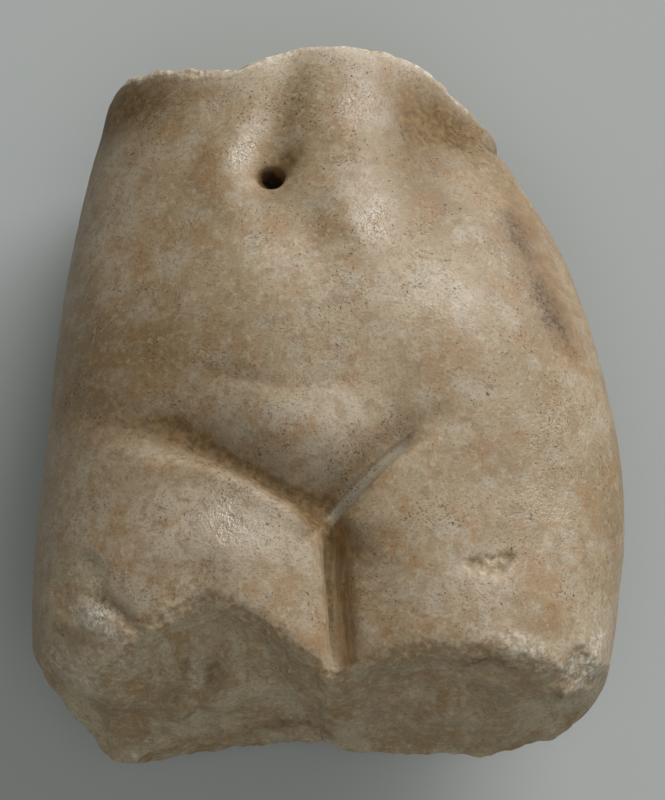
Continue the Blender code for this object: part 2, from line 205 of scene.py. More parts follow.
# Stations up the body. Along is a share of the height, the right and left edge are shares of half the
# hip width, front and back are shares of half the depth, and the last is how square the section's front is.
STATIONS = np.array([
    (-0.55, -0.965, 0.85, 0.8, 0.8, 2.7),
    (-0.44, -0.99, 0.912, 0.83, 0.79, 2.65),
    (-0.33, -1.002, 0.953, 0.848, 0.795, 2.6),
    (-0.22, -0.996, 0.982, 0.879, 0.84, 2.55),
    (-0.11, -0.976, 0.975, 0.935, 0.85, 2.45),
    (0.0, -0.957, 0.936, 0.965, 0.83, 2.4),
    (0.11, -0.938, 0.878, 0.935, 0.78, 2.35),
    (0.22, -0.905, 0.79, 0.864, 0.72, 2.35),
    (0.33, -0.86, 0.658, 0.8, 0.68, 2.3),
    (0.44, -0.803, 0.522, 0.755, 0.69, 2.3),
    (0.55, -0.775, 0.46, 0.725, 0.705, 2.3),
])
BACK_SQUARENESS = 2.3

# Carved lines on the front and back of the body
RIGHT_GROIN = smooth_line(
    (-0.84, -0.078), (-0.7, -0.117), (-0.58, -0.139), (-0.47, -0.158), (-0.36, -0.184), (-0.22, -0.218),
    (-0.1, -0.251), (-0.02, -0.28), (0.03, -0.305),
)
THIGH_GROOVE = smooth_line(
    (-0.045, -0.24), (-0.042, -0.3), (-0.032, -0.37), (-0.018, -0.46), (-0.005, -0.56),
)
LEFT_GROIN = smooth_line(
    (-0.02, -0.268), (0.04, -0.24), (0.15, -0.193), (0.235, -0.162), (0.34, -0.135), (0.5, -0.118),
)
ALBA_LINE = smooth_line((-0.12, 0.5), (-0.15, 0.42), (-0.18, 0.34), (-0.205, 0.28))
BELLY_FOLD = smooth_line((-0.5, -0.045), (-0.3, -0.064), (-0.1, -0.08), (0.12, -0.055))
SPINE_LINE = smooth_line((-0.13, 0.55), (-0.1, 0.35), (-0.05, 0.18), (-0.01, 0.05))
CLEFT_LINE = smooth_line((-0.01, 0.09), (0.01, -0.05), (0.01, -0.2), (0.0, -0.56))
NAVEL = place(-0.207, 0.262)

# The fold under a buttock: across shares, and how far under the buttock's middle as along shares
BUTTOCK_FOLD = ((0.02, 0.185), (0.3, 0.215), (0.66, 0.185))

# Edge of the thigh groove that the first column of the grid follows: along shares, then across shares
GROOVE_EDGE = ((-0.56, -0.46, -0.37, -0.29), (-0.005, -0.018, -0.032, -0.045))

# Soft forms of the front: how high in mm, across and along shares, reaches in mm, and a turn
BELLY_SWELLINGS = (
    (1.2, -0.34, 0.28, 5, 10, 0.0),
    (1.3, 0.06, 0.34, 8, 13, 0.0),
    (0.9, 0.35, 0.06, 13, 9, 0.5),
    (2.6, -0.1, -0.16, 12, 8, 0.0),
    (0.8, -0.2, 0.06, 15, 9, 0.0),
    (1.0, 0.05, 0.185, 6, 8, 0.3),
)
BELLY_HOLLOWS = (
    (0.7, -0.07, 0.16, 5, 7, 0.4),
    (1.0, 0.31, 0.27, 6, 11, 0.0),
    (3.0, 0.41, 0.37, 8, 6, -0.5),
    (1.0, -0.64, 0.12, 9, 14, 0.0),
    (1.6, -0.207, 0.262, 5, 6, 0.0),
)
THIGH_FORMS = (
    (1.6, -0.44, -0.35, 15, 20, 0.3),
    (1.7, -0.36, -0.285, 13, 7, -0.5),
    (1.3, 0.5, -0.42, 16, 26, 0.0),
    (-1.8, 0.08, -0.55, 10, 34, 0.0),
)

# Rims of the two breaks, as across and along shares, read in straight pieces
WAIST_FRONT_RIM = np.array([
    (-0.9, 0.405), (-0.81, 0.45), (-0.775, 0.473), (-0.718, 0.491), (-0.667, 0.4875), (-0.578, 0.474),
    (-0.453, 0.457), (-0.316, 0.454), (-0.263, 0.465), (-0.196, 0.481), (-0.11, 0.49), (0.027, 0.489),
    (0.129, 0.488), (0.231, 0.487), (0.337, 0.472), (0.424, 0.44), (0.498, 0.417), (0.547, 0.405),
    (0.62, 0.375),
])
WAIST_BACK_RIM = np.array([
    (-0.9, 0.44), (-0.7, 0.462), (-0.45, 0.478), (-0.2, 0.462), (0.05, 0.452), (0.25, 0.468),
    (0.45, 0.455), (0.62, 0.42),
])
THIGH_FRONT_RIM = np.array([
    (-1.02, -0.405), (-0.9, -0.44), (-0.835, -0.451), (-0.712, -0.465), (-0.606, -0.436),
    (-0.529, -0.422), (-0.482, -0.39), (-0.429, -0.375), (-0.339, -0.393), (-0.284, -0.41),
    (-0.19, -0.437), (-0.11, -0.465), (-0.055, -0.482), (-0.015, -0.495), (0.043, -0.484),
    (0.137, -0.465), (0.271, -0.457), (0.408, -0.457),
    (0.543, -0.472), (0.698, -0.48), (0.739, -0.496), (0.849, -0.4625), (0.902, -0.437), (0.96, -0.425),
])
THIGH_BACK_RIM = np.array([
    (-1.02, -0.395), (-0.9, -0.46), (-0.735, -0.524), (-0.527, -0.502), (-0.32, -0.478),
    (-0.112, -0.474), (-0.043, -0.476), (0.008, -0.489), (0.235, -0.491), (0.414, -0.503),
    (0.58, -0.505), (0.714, -0.5), (0.827, -0.485), (0.896, -0.465), (0.96, -0.43),
])

# Shell-shaped scars inside the breaks: across and front as shares, radius in the plane and depth in mm
WAIST_SCARS = (
    (-0.45, 0.3, 14, 2.2), (0.1, 0.25, 15, 1.6), (-0.1, -0.35, 13, 1.8), (0.38, -0.1, 9, 1.5),
)
THIGH_SCARS = (
    (-0.42, 0.55, 14, 3.0), (-0.7, -0.1, 11, 1.5), (-0.2, -0.15, 10, 1.2), (0.35, 0.2, 13, 1.8),
    (0.72, 0.0, 9, 1.4), (0.3, -0.4, 12, 1.0), (0.53, 0.68, 6, 1.8),
)

# Where the break of the right thigh runs back steeply: its middle and reach across, and how much
STEEP_BREAK = (-0.43, 0.26, 1.15)

# Flat chips off the edges: a point on the chip (across, along, front), the way it faces, its reach in mm
CHIPS = (
    ((-0.955, -0.415, 0.3), (-0.8, -0.4, 0.42), 9),
    ((0.84, -0.462, 0.36), (0.62, -0.55, 0.56), 9),
    ((0.575, 0.4, 0.1), (0.7, 0.68, 0.2), 9),
    ((-0.79, 0.478, 0.28), (-0.6, 0.65, 0.46), 8),
)

# Places that only the fine stone has
THIGH_CHIP = place(0.5, -0.33)
THIGH_CHIP_PITS = (place(0.45, -0.329), place(0.567, -0.316), place(0.53, -0.334))
CORNER_CHIP = place(-0.83, -0.345)
STAIN_LINE = smooth_line((0.6, 0.215), (0.635, 0.168), (0.672, 0.12), (0.712, 0.075), (0.752, 0.028))
STAIN_SPECKS = (
    place(0.612, 0.205), place(0.63, 0.178), place(0.7, 0.095), place(0.724, 0.066), place(0.745, 0.038),
)

# A notch in the side under the rim of the waist, and the lump above it: along shares
SIDE_NOTCH = 0.376
SIDE_LUMP = 0.4

# The crevice beside the chip on the right thigh, and a crack in the thigh break, read in that break's plane
SIDE_CREVICE = smooth_line((-0.765, -0.366), (-0.715, -0.38), (-0.665, -0.402), (-0.61, -0.43))
BREAK_CRACK = smooth_line((-0.485, 0.03), (-0.44, 0.045), (-0.4, 0.025))

# Patches of the skin: how strong, across and along shares, reaches in mm, and a turn
SIDE_RIDGE = (
    (0.6, -0.745, -0.4, 2.2, 4.5, 0.75),
)
# Brown patina; the broad lobes on the belly and flank at across shares below -0.5 are painted shade on the
# side away from the window light
PATINA_AND_SHADE_SPOTS = (
    (0.25, -0.05, 0.2, 4.5, 7.0, 0.4),
    (1.4, -0.15, 0.286, 1.7, 3.4, -0.8),
    (0.55, -0.2, 0.225, 4.0, 3.0, 0.0),
    (1.2, 0.4, 0.385, 9.0, 6.5, -0.5),
    (0.7, 0.27, 0.33, 6.0, 9.0, 0.4),
    (1.4, -0.7, 0.42, 11.0, 7.0, 0.0),
    (0.4, -0.78, -0.02, 8.0, 17.0, 0.0),
    (0.5, -0.5, 0.0, 14.0, 9.0, 0.0),
    (0.25, -0.6, 0.22, 8.0, 9.0, 0.0),
    (0.3, 0.3, 0.26, 8.0, 8.0, 0.0),
    (0.45, 0.1, -0.33, 5.0, 9.0, 0.0),
    (0.5, -0.42, -0.345, 8.0, 3.0, 0.0),
)
# Worn polish, which also stands in as a painted highlight: the colour is whitened in these spots where the
# highlights fall
POLISH_AND_HIGHLIGHT_SPOTS = (
    (0.8, 0.135, 0.2, 3.6, 5.6, 0.0),
    (1.1, 0.115, 0.38, 3.5, 4.5, 0.0),
    (1.1, -0.3, 0.302, 1.7, 5.0, -0.45),
    (0.9, -0.345, -0.275, 4.5, 5.5, -0.5),
    (0.14, -0.34, -0.29, 11.0, 9.0, 0.0),
    (0.24, 0.4, 0.065, 9.0, 6.0, 0.0),
    (0.7, -0.4, 0.385, 2.5, 3.0, 0.0),
    (1.0, -0.74, -0.398, 2.4, 4.5, 0.75),
    (0.6, 0.75, -0.14, 5.0, 5.0, 0.0),
    (0.2, -0.05, -0.05, 14.0, 9.0, 0.0),
    (0.4, 0.72, -0.24, 6.0, 9.0, 0.0),
)
# Paler tone, partly a painted highlight, most on the crest of the right thigh where the light falls
PALE_AND_HIGHLIGHT_SPOTS = (
    (0.6, 0.36, -0.38, 11.0, 11.0, 0.2),
    (0.9, -0.1, -0.125, 13.0, 6.0, 0.0),
    (0.8, -0.6, -0.3, 10.0, 12.0, 0.0),
    (0.7, -0.26, -0.36, 9.0, 8.0, 0.0),
    (0.4, 0.1, 0.06, 14.0, 7.0, 0.0),
    (0.5, -0.88, -0.26, 6.0, 13.0, 0.0),
    (0.6, -0.74, 0.22, 7.0, 13.0, 0.0),
    (0.2, 0.62, -0.1, 8.0, 9.0, 0.0),
    (1.0, -0.33, -0.275, 9.0, 8.0, 0.0),
    (0.6, -0.06, -0.2, 8.0, 5.0, 0.0),
    (0.4, -0.3, -0.33, 10.0, 8.0, 0.0),
)
BELLY_CHALK = (
    (0.32, -0.17, 0.125, 7.0, 4.0, 0.0),
)
# Light crystals and painted highlights: on the chip beside the crevice, and on the chipped corner of the
# left thigh that faces the window light
SIDE_CHALK_AND_HIGHLIGHT = (
    (1.1, -0.745, -0.402, 2.2, 5.0, 0.75),
    (0.7, 0.86, -0.415, 3.0, 7.0, 0.0),
)
RIM_CHALK = (
    (0.8, 0.62, -0.445, 4.8, 2.0, -0.3),
)

# Patches of the thigh break: how strong, across and front shares, reaches in mm, a turn, rings past the rim
# The first is a painted highlight, with light crystals, on the facet of the left thigh's break that faces
# the window light; the rest are light crystals
BREAK_CHALK_AND_HIGHLIGHT = (
    (1.5, 0.795, 0.5, 2.2, 4.6, 0.3, 12),
    (0.6, -0.84, 0.36, 4.5, 5.0, 0.0, 8),
    (0.45, -0.68, 0.55, 4.0, 3.0, 0.0, 8),
    (0.8, -0.44, 0.4, 1.2, 3.0, 0.0, 0),
    (0.7, -0.67, -0.4, 1.1, 2.0, 0.0, 0),
)
BREAK_DEPOSITS = (
    (1.0, -0.475, 0.42, 0.9, 1.8, 0.0, 4),
    (1.0, 0.5, 0.66, 5.5, 2.0, 0.0, 4),
    (0.6, -0.74, 0.12, 4.5, 3.0, 0.0, 4),
    (0.85, -0.13, -0.4, 7.0, 3.0, 0.0, 4),
    (0.9, 0.74, 0.42, 1.0, 2.2, 0.0, 4),
    (0.75, -0.53, 0.24, 2.4, 3.8, 0.0, 4),
    (0.85, -0.385, 0.34, 2.0, 4.0, 0.0, 4),
    (0.4, -0.55, -0.45, 5.0, 3.0, 0.0, 4),
)


def right_thigh_relief(u, v):
    """The right thigh stands proud of the belly and of the groove between the thighs."""
    distance, progress = beside_line(u, v, RIGHT_GROIN)
    strength = smooth_step(0.0, 0.45, progress) * (1.0 - smooth_step(0.8, 0.98, progress))
    above = np.maximum(distance - 0.3 * UNIT, 0.0)
    valley = 3.0 * bell(above, 9 * UNIT) + 1.3 * bell(above, 3.5 * UNIT)
    roll = (5.5 - 2.6 * smooth_step(0.2, 0.55, progress)) * UNIT
    rolled = np.clip(1.0 + (distance - 0.3 * UNIT) / roll, 0.0, 1.0) ** 3
    hollow = UNIT * strength * valley * rolled
    distance, _ = beside_line(u, v, THIGH_GROOVE)
    strength = 1.0 - smooth_step(along(-0.3), along(-0.262), v)
    past_wall = np.maximum(distance - 0.9 * UNIT, 0.0)
    slot = np.exp(-((past_wall / (3.5 * UNIT)) ** 3))
    wall = smooth_step(0, 0.9 * UNIT, distance)
    cut = THIGH_GROOVE_DEPTH * wall * (0.62 * slot + 0.38 * bell(past_wall, 9 * UNIT))
    worn_edge = 0.7 * UNIT * np.exp(-np.abs(distance) / (1.4 * UNIT))
    return -hollow - strength * (cut + worn_edge)


def left_groin_relief(u, v):
    """The left groin: a soft fold with a flat channel cut along its inner part."""
    distance, progress = beside_line(u, v, LEFT_GROIN)
    strength = smooth_step(0.0, 0.15, progress) * (1.0 - smooth_step(0.45, 1.0, progress))
    above = smooth_step(-2.2 * UNIT, 2.2 * UNIT, distance)
    fold = 1.7 * UNIT * bell(np.maximum(distance, 0.0), 6 * UNIT) * above
    below = np.maximum(-distance, 0.0)
    swelling = 0.6 * UNIT * bell(below - 3 * UNIT, 6 * UNIT) * smooth_step(0, 3 * UNIT, below)
    half = GROIN_CHANNEL_WIDTH / 2
    channel = 1.0 - smooth_step(half * 0.5, half * 1.6, np.abs(distance))
    ends = smooth_step(0.0, 0.08, progress) * (1.0 - smooth_step(0.55, 0.72, progress))
    return strength * (swelling - fold) - GROIN_CHANNEL_DEPTH * channel * ends


def belly_relief(u, v):
    """The soft forms of the belly, with the line above the navel and the fold under the belly."""
    line_distance, line_progress = beside_line(u, v, ALBA_LINE)
    fold_distance, fold_progress = beside_line(u, v, BELLY_FOLD)
    furrow = 1.4 * UNIT * bell(line_distance, 3.4 * UNIT) * (0.55 + 0.45 * line_progress)
    fold_ends = smooth_step(0, 0.25, fold_progress) * (1.0 - smooth_step(0.7, 1.0, fold_progress))
    fold = 0.24 * UNIT * bell(fold_distance, 1.6 * UNIT) * fold_ends
    return UNIT * (lobes(u, v, BELLY_SWELLINGS) - lobes(u, v, BELLY_HOLLOWS)) - furrow - fold


def thigh_relief(u, v):
    """Each thigh has its own crest, and sinks a little towards the middle."""
    low = 1.0 - smooth_step(along(-0.4), along(-0.14), v)
    return low * UNIT * lobes(u, v, THIGH_FORMS)


def back_relief(u, v):
    """Buttocks, the cleft between them, the folds under them and the hollow of the spine."""
    cleft_distance, cleft_progress = beside_line(u, v, CLEFT_LINE)
    spine_distance, _ = beside_line(u, v, SPINE_LINE)
    relief = -1.8 * UNIT * bell(spine_distance, 5.5 * UNIT)
    for side, high, swell in ((-1.0, -0.135, 7.35), (1.0, -0.105, 7.0)):
        relief += swell * UNIT * lobe(u, v, place(0.46 * side, high), 19 * UNIT, 23 * UNIT)
        fold = smooth_line(*((share * side, high - drop) for share, drop in BUTTOCK_FOLD))
        distance, progress = beside_line(u, v, fold)
        strength = smooth_step(0.0, 0.12, progress) * (1.0 - smooth_step(0.35, 1.0, progress))
        under = np.maximum(-distance * side, 0.0)
        over = np.maximum(distance * side, 0.0)
        relief -= 2.2 * UNIT * strength * np.where(under > 0, bell(under, 7 * UNIT), bell(over, 3 * UNIT))
        relief -= 0.8 * UNIT * lobe(u, v, place(0.2 * side, 0.125), 3.5 * UNIT, 3.5 * UNIT)
        relief -= 1.2 * UNIT * lobe(u, v, place(0.84 * side, high), 8 * UNIT, 11 * UNIT)
    depth = 5.5 * UNIT * (0.6 + 0.4 * smooth_step(0.0, 0.3, cleft_progress))
    cleft = np.exp(-((np.abs(cleft_distance) / (2.4 * UNIT)) ** 1.2))
    cleft = cleft * (1.0 - smooth_step(0.0, along(0.1), v))
    return relief - depth * cleft


def navel_bore(u, v):
    """Depth of the navel's drilled hole, with a worn edge and a floor that rises to the lower right."""
    du, dv = u - NAVEL[0], v - NAVEL[1]
    floor = 0.55 + 0.45 * smooth_step(-0.7, 0.7, (0.8 * du + 0.6 * dv) / NAVEL_BORE_RADIUS)
    wall = 1.0 - smooth_step(NAVEL_BORE_RADIUS * 0.65, NAVEL_BORE_RADIUS * 1.15, np.hypot(du, dv))
    return NAVEL_BORE_DEPTH * floor * wall


def section(angle, v):
    """Point (across, front) of the plain body at an angle and a place along it, and its depth there."""
    row = smooth_rows(STATIONS, v / BODY_HEIGHT)
    right, left, front, back, square = (row[..., k] for k in range(1, 6))
    in_front = np.sin(angle) >= 0
    depth = np.where(in_front, front, back) * HALF_DEPTH
    power = np.where(in_front, square, BACK_SQUARENESS)
    width = across(left - right) / 2
    c, s = np.cos(angle), np.sin(angle)
    radius = (np.abs(c / width) ** power + np.abs(s / depth) ** power) ** (-1 / power)
    return across(left + right) / 2 + radius * c, radius * s, depth


def skin(angle, v):
    """Point (across, front) of the carved surface at an angle and a place along the body."""
    u, w, depth = section(angle, v)
    front = right_thigh_relief(u, v) + left_groin_relief(u, v) + belly_relief(u, v) + thigh_relief(u, v)
    front_part = smooth_step(0.05, 0.55, w / depth)
    back_part = smooth_step(0.05, 0.55, -w / depth)
    return u, w + (front - navel_bore(u, v)) * front_part - back_relief(u, v) * back_part


def broken_end(u, w, front_rim, back_rim, scars, steep, way):
    """Where along the body the stone ends, at a place of the section. Scars sink into the stone."""
    share = u / HALF_WIDTH
    front = np.interp(share, front_rim[:, 0], front_rim[:, 1])
    back = np.interp(share, back_rim[:, 0], back_rim[:, 1])
    low = -0.9 + steep * bell(share - STEEP_BREAK[0], STEEP_BREAK[1])
    v = along(back + (front - back) * smooth_step(low, 0.95, w / HALF_DEPTH))
    sunk = np.zeros(u.shape)
    for share_across, share_front, radius, deep in scars:
        distance = np.hypot(u - across(share_across), w - share_front * HALF_DEPTH) / (radius * UNIT)
        sunk = np.maximum(sunk, deep * UNIT * np.maximum(1.0 - distance**2, 0.0))
    inside = 1.0 - np.maximum(np.abs(w) / HALF_DEPTH / 0.8, np.abs(share) / 0.92)
    plane = np.stack([u, np.full(u.shape, 0.01 * way), w], axis=-1)
    grain = 0.55 * UNIT * rough(plane, 7 * UNIT, 11) + 0.35 * UNIT * np.abs(rough(plane, 3.5 * UNIT, 23))
    return v - way * (sunk * smooth_step(0.0, 0.15, inside) + grain)


def waist_end(u, w):
    """The break at the waist."""
    return broken_end(u, w, WAIST_FRONT_RIM, WAIST_BACK_RIM, WAIST_SCARS, 0.0, 1.0)


def thigh_end(u, w):
    """The break across the thighs."""
    return broken_end(u, w, THIGH_FRONT_RIM, THIGH_BACK_RIM, THIGH_SCARS, STEEP_BREAK[2], -1.0)


def column_angles(v):
    """Angles of the columns at a place along the body. The first follows the edge of the thigh groove."""
    t = np.arange(COLUMNS) / COLUMNS
    spread = 2 * math.pi * t - 0.5 * np.sin(4 * math.pi * t) / 2
    edge = across(np.interp(v / BODY_HEIGHT, *GROOVE_EDGE))
    row = smooth_rows(STATIONS, v / BODY_HEIGHT)
    middle = across(row[..., 1] + row[..., 2]) / 2
    return math.pi / 2 - (edge - middle) / (row[..., 3] * HALF_DEPTH) + spread


def rim(end, start):
    """Where along the body each column of the carved surface meets a break."""
    v = np.full(COLUMNS, start)
    for _ in range(RIM_STEPS):
        u, w = skin(column_angles(v), v)
        v = 0.5 * v + 0.5 * end(u, w)
    return v


def cap(edge, end):
    """Rings of a break from its middle, which is its first ring, out to its rim."""
    middle = edge.mean(axis=0)
    share = np.linspace(0, 1, CAP_RINGS + 1)[:-1, None]
    u = middle[0] + (edge[:, 0] - middle[0]) * share
    w = middle[2] + (edge[:, 2] - middle[2]) * share
    return np.stack([u, end(u, w), w], axis=-1)


def worn(grid, strength, passes):
    """Rounds the grid a little, each point by its own strength."""
    for _ in range(passes):
        beside = (np.roll(grid, 1, axis=1) + np.roll(grid, -1, axis=1)) / 2
        next_to = grid.copy()
        next_to[1:-1] = (grid[2:] + grid[:-2]) / 2
        grid = grid + strength[..., None] * ((beside + next_to) / 2 - grid)
    return grid


def rim_wear(edge):
    """How far the wear of the thigh break's rim reaches, at each point of the rim."""
    share = edge[:, 0] / HALF_WIDTH
    in_front = smooth_step(0.0, 0.4, edge[:, 2] / HALF_DEPTH)
    softer = 1.0 - 0.55 * smooth_step(-0.1, 0.05, share) + 0.2 * bell(share - 0.5, 0.18)
    softer = softer - 0.4 * smooth_step(0.62, 0.74, share)
    return (0.9 + 3.6 * softer * in_front) * UNIT


def chipped(grid):
    """Takes the chips off the edges. Also gives how much each point lies in a chip."""
    size = np.array((HALF_WIDTH, BODY_HEIGHT, HALF_DEPTH))
    in_chip = np.zeros(grid.shape[:2])
    for point, facing, reach in CHIPS:
        centre = np.array(point) * size
        normal = np.array(facing) / np.linalg.norm(facing)
        offset = grid - centre
        proud = np.maximum(offset @ normal + 0.25 * UNIT * rough(grid, 3 * UNIT, 41), 0.0)
        near = 1.0 - smooth_step(0.8, 1.1, np.linalg.norm(offset, axis=-1) / (reach * UNIT))
        grid = grid - (proud * near)[..., None] * normal
        in_chip = np.maximum(in_chip, smooth_step(0.05 * UNIT, 0.5 * UNIT, proud * near))
    return grid, in_chip


def worn_edges(grid):
    """Rounds the rims of both breaks, and the outer part of the right groin's edge."""
    ring = np.arange(len(grid))[:, None]
    step = along(SKIN_SPAN) / ROWS
    strength = 0.7 * bell((ring - THIGH_RIM) * step, rim_wear(grid[THIGH_RIM]))
    strength = np.minimum(strength + 0.9 * bell((ring - WAIST_RIM) * step, 1.3 * UNIT), 1.0)
    strength[0] = strength[-1] = 0.0
    low = slice(max(THIGH_RIM - THIGH_WORN_RINGS, 1), THIGH_RIM + THIGH_WORN_RINGS)
    high = slice(WAIST_RIM - WAIST_WORN_RINGS, None)
    grid[low] = worn(grid[low], strength[low], THIGH_RIM_PASSES)
    grid[high] = worn(grid[high], strength[high], WAIST_RIM_PASSES)
    groin, progress = beside_line(grid[..., 0], grid[..., 1], RIGHT_GROIN)
    soft_edge = bell(groin + 0.6 * UNIT, 2.6 * UNIT) * (1.0 - 0.65 * smooth_step(0.35, 0.7, progress))
    soft_edge = soft_edge * (grid[..., 2] > 0) * ((ring > THIGH_RIM + 4) & (ring < WAIST_RIM - 4))
    return worn(grid, 0.9 * soft_edge, GROIN_PASSES)


def outward(grid):
    """The way each point of the grid faces."""
    up = np.gradient(grid, axis=0)
    round_about = np.roll(grid, -1, axis=1) - np.roll(grid, 1, axis=1)
    normal = np.cross(up, round_about)
    return normal / np.maximum(np.linalg.norm(normal, axis=-1, keepdims=True), 1e-12)


class Surface:
    """Where each point of the grid lies before its fine relief, and how broken the stone is there."""

    def __init__(self, grid, in_chip):
        self.u, self.v, self.w = grid[..., 0], grid[..., 1], grid[..., 2]
        self.ring = np.arange(len(grid))[:, None]
        self.skin = ((self.ring >= THIGH_RIM) & (self.ring <= WAIST_RIM)) * np.ones(COLUMNS)
        self.facing = smooth_step(0.0, 0.3, self.w / HALF_DEPTH)
        self.in_front = self.facing * self.skin
        self.uneven = rough(grid, 5 * UNIT, 61)
        step_in = np.linalg.norm(grid[THIGH_RIM] - grid[0].mean(axis=0), axis=-1) / CAP_RINGS
        self.into_break = np.maximum(THIGH_RIM - self.ring, 0) * step_in
        self.crevice, _ = self.beside(SIDE_CREVICE)
        self.channel, self.channel_progress = self.beside(LEFT_GROIN)
        self.groove, _ = self.beside(THIGH_GROOVE)
        past_wall = smooth_step(-0.2 * UNIT, 0.4 * UNIT, self.groove)
        past_wall = past_wall * (1.0 - smooth_step(3.8 * UNIT, 5.6 * UNIT, self.groove))
        self.in_groove = past_wall * (1.0 - smooth_step(along(-0.29), along(-0.25), self.v)) * self.in_front

        chip = lobe(self.u, self.v, THIGH_CHIP, 3.9 * UNIT, 2.2 * UNIT, 0.12) * self.in_front
        self.chip = smooth_step(0.3, 0.75, chip * (1.0 + 0.45 * rough(grid, 2.4 * UNIT, 63)))
        pits = sum(lobe(self.u, self.v, spot, 0.95 * UNIT, 0.7 * UNIT) for spot in THIGH_CHIP_PITS)
        self.pits = pits * self.in_front
        corner = lobe(self.u, self.v, CORNER_CHIP, 5.5 * UNIT, 6.5 * UNIT) * self.in_front
        self.corner = smooth_step(0.35, 0.7, corner + 0.25 * self.uneven * corner)

        # From 0 on the carved skin to 1 on the breaks
        from_rim = np.minimum(self.v - grid[THIGH_RIM, :, 1], grid[WAIST_RIM, :, 1] - self.v)
        from_rim = np.where(self.skin > 0, np.maximum(from_rim, 0.0), 0.0)
        reach = 0.7 + 1.0 * np.maximum(self.uneven, 0.0) + 1.6 * np.maximum(rough(grid, 11 * UNIT, 67), 0.0)
        broken = np.where(self.skin > 0, 1.0 - smooth_step(0.3 * reach * UNIT, reach * UNIT, from_rim), 1.0)
        broken = np.maximum.reduce([broken, 0.8 * in_chip, 0.75 * self.chip, 0.7 * self.corner])
        self.broken = np.clip(broken, 0.0, 1.0)

    def beside(self, line):
        """Distance to a line on the skin, and how far along it, as beside_line gives them."""
        return beside_line(self.u, self.v, line)

    def spots(self, table):
        """Soft patches of the skin, as lobes gives them."""
        return lobes(self.u, self.v, table)

    def break_spots(self, table):
        """Soft patches of the thigh break, each up to a number of rings past the rim."""
        return sum(
            strong * lobe(self.u, self.w, (across(at), front * HALF_DEPTH), wide * UNIT, deep * UNIT, turn)
            * (self.ring < THIGH_RIM + past)
            for strong, at, front, wide, deep, turn, past in table
        )


def fine_relief(at, grid):
    """Height of the fine relief along the surface's own normal."""
    soft = 0.1 * rough(grid, 9 * UNIT, 71, 3) + 0.035 * rough(grid, 2.2 * UNIT, 75, 3)
    hard = 0.34 * rough(grid, 3.2 * UNIT, 81, 4, 0.55) - 0.2 * np.abs(rough(grid, 1.5 * UNIT, 91, 3))
    strokes = rough(grid * np.array((1.0, 0.06, 1.0)), 0.8 * UNIT, 101, 2)
    at_side = bell(at.u - across(0.56), 4.5 * UNIT) * bell(at.w - 0.15 * HALF_DEPTH, 7 * UNIT)
    height = UNIT * (
        soft * (1.0 - at.broken)
        + hard * at.broken
        - 0.26 * at.chip
        - 0.35 * at.corner
        - 0.4 * at.pits
        + 0.09 * at.in_groove * strokes * (1 - at.broken)
        - 1.5 * at_side * bell(at.v - along(SIDE_NOTCH), 1.5 * UNIT)
        + 0.7 * at_side * bell(at.v - along(SIDE_LUMP), 1.5 * UNIT)
        - 0.45 * bell(at.crevice, 1.0 * UNIT) * at.facing
        + at.spots(SIDE_RIDGE) * at.facing
    )
    height[0] = height[0].mean()
    height[-1] = height[-1].mean()
    return height


def patina_and_shade_mark(at, grid):
    """Brown patina in the hollows of the carving, beside its lines and in patches, with painted shade: the
    belly's shadow over the right groin, on the thigh under it, and on the side away from the window light.
    """
    smoothed = worn(grid, np.ones(grid.shape[:2]), HOLLOW_PASSES)
    deep = np.einsum("ijk,ijk->ij", smoothed - grid, outward(grid)) / UNIT
    furrow, furrow_progress = at.beside(ALBA_LINE)
    groin, groin_progress = at.beside(RIGHT_GROIN)
    fold, _ = at.beside(BELLY_FOLD)
    from_navel = np.hypot(at.u - NAVEL[0], at.v - NAVEL[1]) / NAVEL_BORE_RADIUS
    # Painted shadow of the belly over the right groin's fold, on top of some patina there
    over_groin = 0.74 - 0.3 * smooth_step(0.4, 0.8, groin_progress)
    over_groin = over_groin * bell(groin - 2.6 * UNIT, 4.2 * UNIT)
    over_groin = over_groin + 0.35 * bell(groin - 1.0 * UNIT, 1.8 * UNIT)
    patina_and_shade = (
        1.1 * smooth_step(0.04, 0.45, deep) * (1 - at.broken)
        + 0.5 * bell(furrow - 0.4 * UNIT, 3.4 * UNIT) * smooth_step(0.05, 0.4, furrow_progress)
        + 0.8 * bell(at.crevice, 2.0 * UNIT) * at.in_front
        + over_groin * smooth_step(-0.1, 0.3, groin_progress)
        # Painted shade on the thigh just under the right groin's edge
        + 0.3 * bell(groin, 2.4 * UNIT) * (groin < 0) * smooth_step(0.15, 0.5, groin_progress)
        + 0.8 * bell(at.channel - 2.4 * UNIT, 2.4 * UNIT) * (1 - smooth_step(0.6, 1.0, at.channel_progress))
        + 0.15 * bell(fold - 0.4 * UNIT, 1.8 * UNIT) * smooth_step(-0.1, 0.5, rough(grid, 4 * UNIT, 161, 2))
        + 1.2 * (1.0 - smooth_step(0.8, 1.15, from_navel)) * at.in_front
        + 0.65 * at.chip
        + 1.2 * at.pits
        + at.spots(PATINA_AND_SHADE_SPOTS)
    )
    return patina_and_shade * np.where(at.skin > 0, at.in_front + (1 - at.in_front) * 0.8, 1.0)


def crystal_and_highlight_mark(at, below_waist_rim):
    """Light crystals on the chips and rims and in patches of the break, partly painted highlights on
    chipped facets that face the window light.
    """
    rim_width = (1.9 + 0.6 * at.uneven) * UNIT
    return (
        at.spots(BELLY_CHALK) * at.in_front
        + 0.34 * lobe(at.u, at.v + 0.6 * UNIT, THIGH_CHIP, 5.5 * UNIT, 3.8 * UNIT) * at.in_front
        + at.spots(SIDE_CHALK_AND_HIGHLIGHT) * (at.w > 0)
        + at.spots(RIM_CHALK) * at.facing
        + at.break_spots(BREAK_CHALK_AND_HIGHLIGHT)
        + 0.8 * (1.0 - smooth_step(0.5 * UNIT, rim_width, below_waist_rim)) * at.in_front
    )


